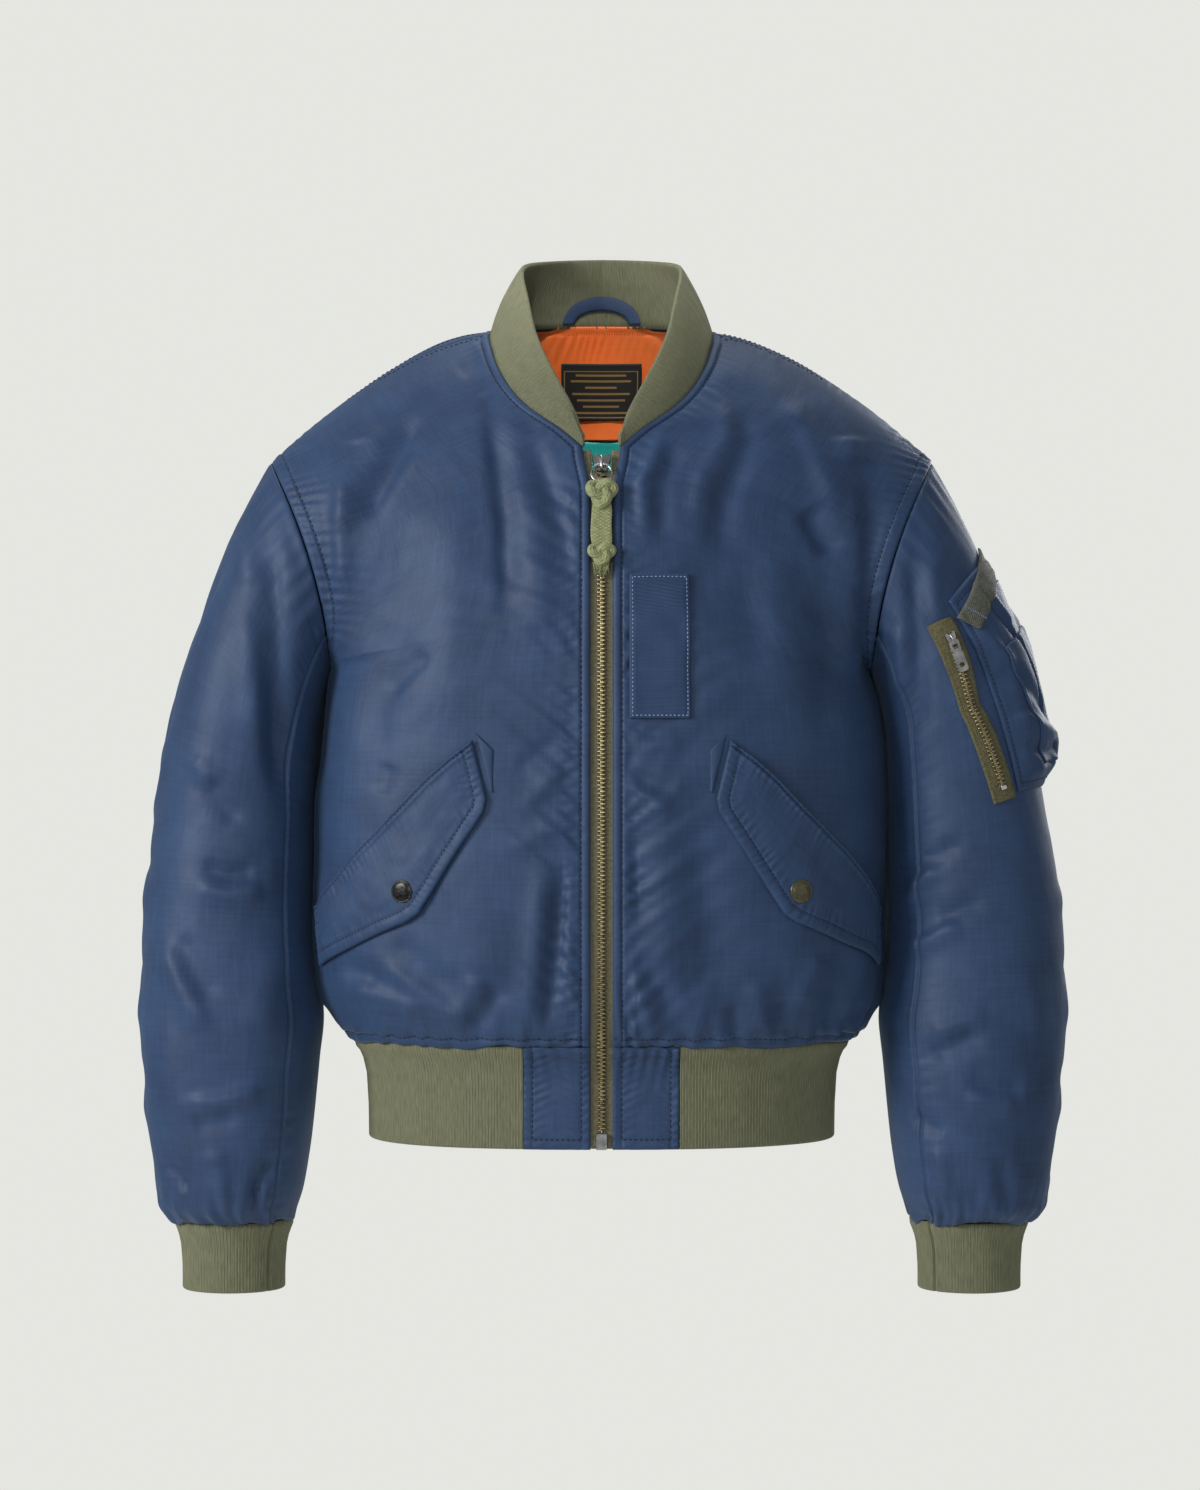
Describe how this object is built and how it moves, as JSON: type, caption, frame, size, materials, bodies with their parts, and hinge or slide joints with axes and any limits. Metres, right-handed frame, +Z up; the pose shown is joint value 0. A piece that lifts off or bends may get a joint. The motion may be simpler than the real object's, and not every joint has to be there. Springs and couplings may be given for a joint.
{
  "type": "bomber jacket",
  "caption": "Short nylon bomber jacket, zipped and filled out as if worn, with rib collar, cuffs and waistband, slanted flap pockets and a zipped sleeve pocket.",
  "frame": {"origin": "base of the neck, midway between the two points where the shoulder seams meet the collar; the wearer's shoulders carry the jacket there", "axes": "+Z up, -Y the way the wearer faces, +X to the wearer's left"},
  "size_m": [0.736, 0.2813, 0.83],
  "materials": {
    "navy_nylon": "satin nylon twill, light sheen",
    "olive_rib": "matt rib knit",
    "orange_nylon": "satin nylon lining",
    "teal_nylon": "satin nylon lining",
    "label_cloth": "matt woven label, bare",
    "zip_tape": "matt woven zip tape",
    "brass": "satin, a little dulled",
    "steel": "satin nickel plate",
    "sage_cord": "matt flat braid",
    "grey_webbing": "matt narrow webbing",
    "snap_dark": "dark gunmetal, satin",
    "snap_olive": "dulled olive brass, satin"
  },
  "bodies": {
    "jacket": {"back_panel": "navy_nylon", "front_panel_left": "navy_nylon", "front_panel_right": "navy_nylon", "sleeve_left": "navy_nylon", "sleeve_right": "navy_nylon", "hem_rib": "olive_rib", "hem_tab_left": "navy_nylon", "hem_tab_right": "navy_nylon", "collar_rib": "olive_rib", "cuff_left": "olive_rib", "cuff_right": "olive_rib", "pocket_flap_left": "navy_nylon", "pocket_flap_right": "navy_nylon", "pocket_welt_left": "navy_nylon", "pocket_welt_right": "navy_nylon", "chest_patch": "navy_nylon", "snap_left": "snap_olive", "snap_right": "snap_dark", "zip_tape_left": "zip_tape", "zip_tape_right": "zip_tape", "zip_chain": "brass", "zip_end_box": "steel", "zip_slider": "steel", "sleeve_pocket": "navy_nylon", "pen_pocket": "navy_nylon", "sleeve_zip_tape": "zip_tape", "sleeve_zip_chain": "brass", "sleeve_zip_slider": "steel", "webbing_tab": "grey_webbing", "lining_back": "orange_nylon", "lining_band": "teal_nylon", "neck_label": "label_cloth", "hanger_loop": "navy_nylon"},
    "front_zip_pull": {"zip_pull_ring": "steel", "zip_pull_leader": "sage_cord"},
    "sleeve_zip_pull": {"sleeve_zip_tab": "steel"}
  },
  "joints": [
    {"name": "front_zip_pull_swing", "type": "hinge", "parent": "jacket", "child": "front_zip_pull", "pos_m": [0, -0.10576, -0.11373], "axis": [-1, 0, 0], "range_deg": [0, 110]},
    {"name": "sleeve_zip_pull_swing", "type": "hinge", "parent": "jacket", "child": "sleeve_zip_pull", "pos_m": [0.27254, -0.08983, -0.25008], "axis": [-0.9296, -0.098, -0.3552], "range_deg": [0, 100]}
  ]
}
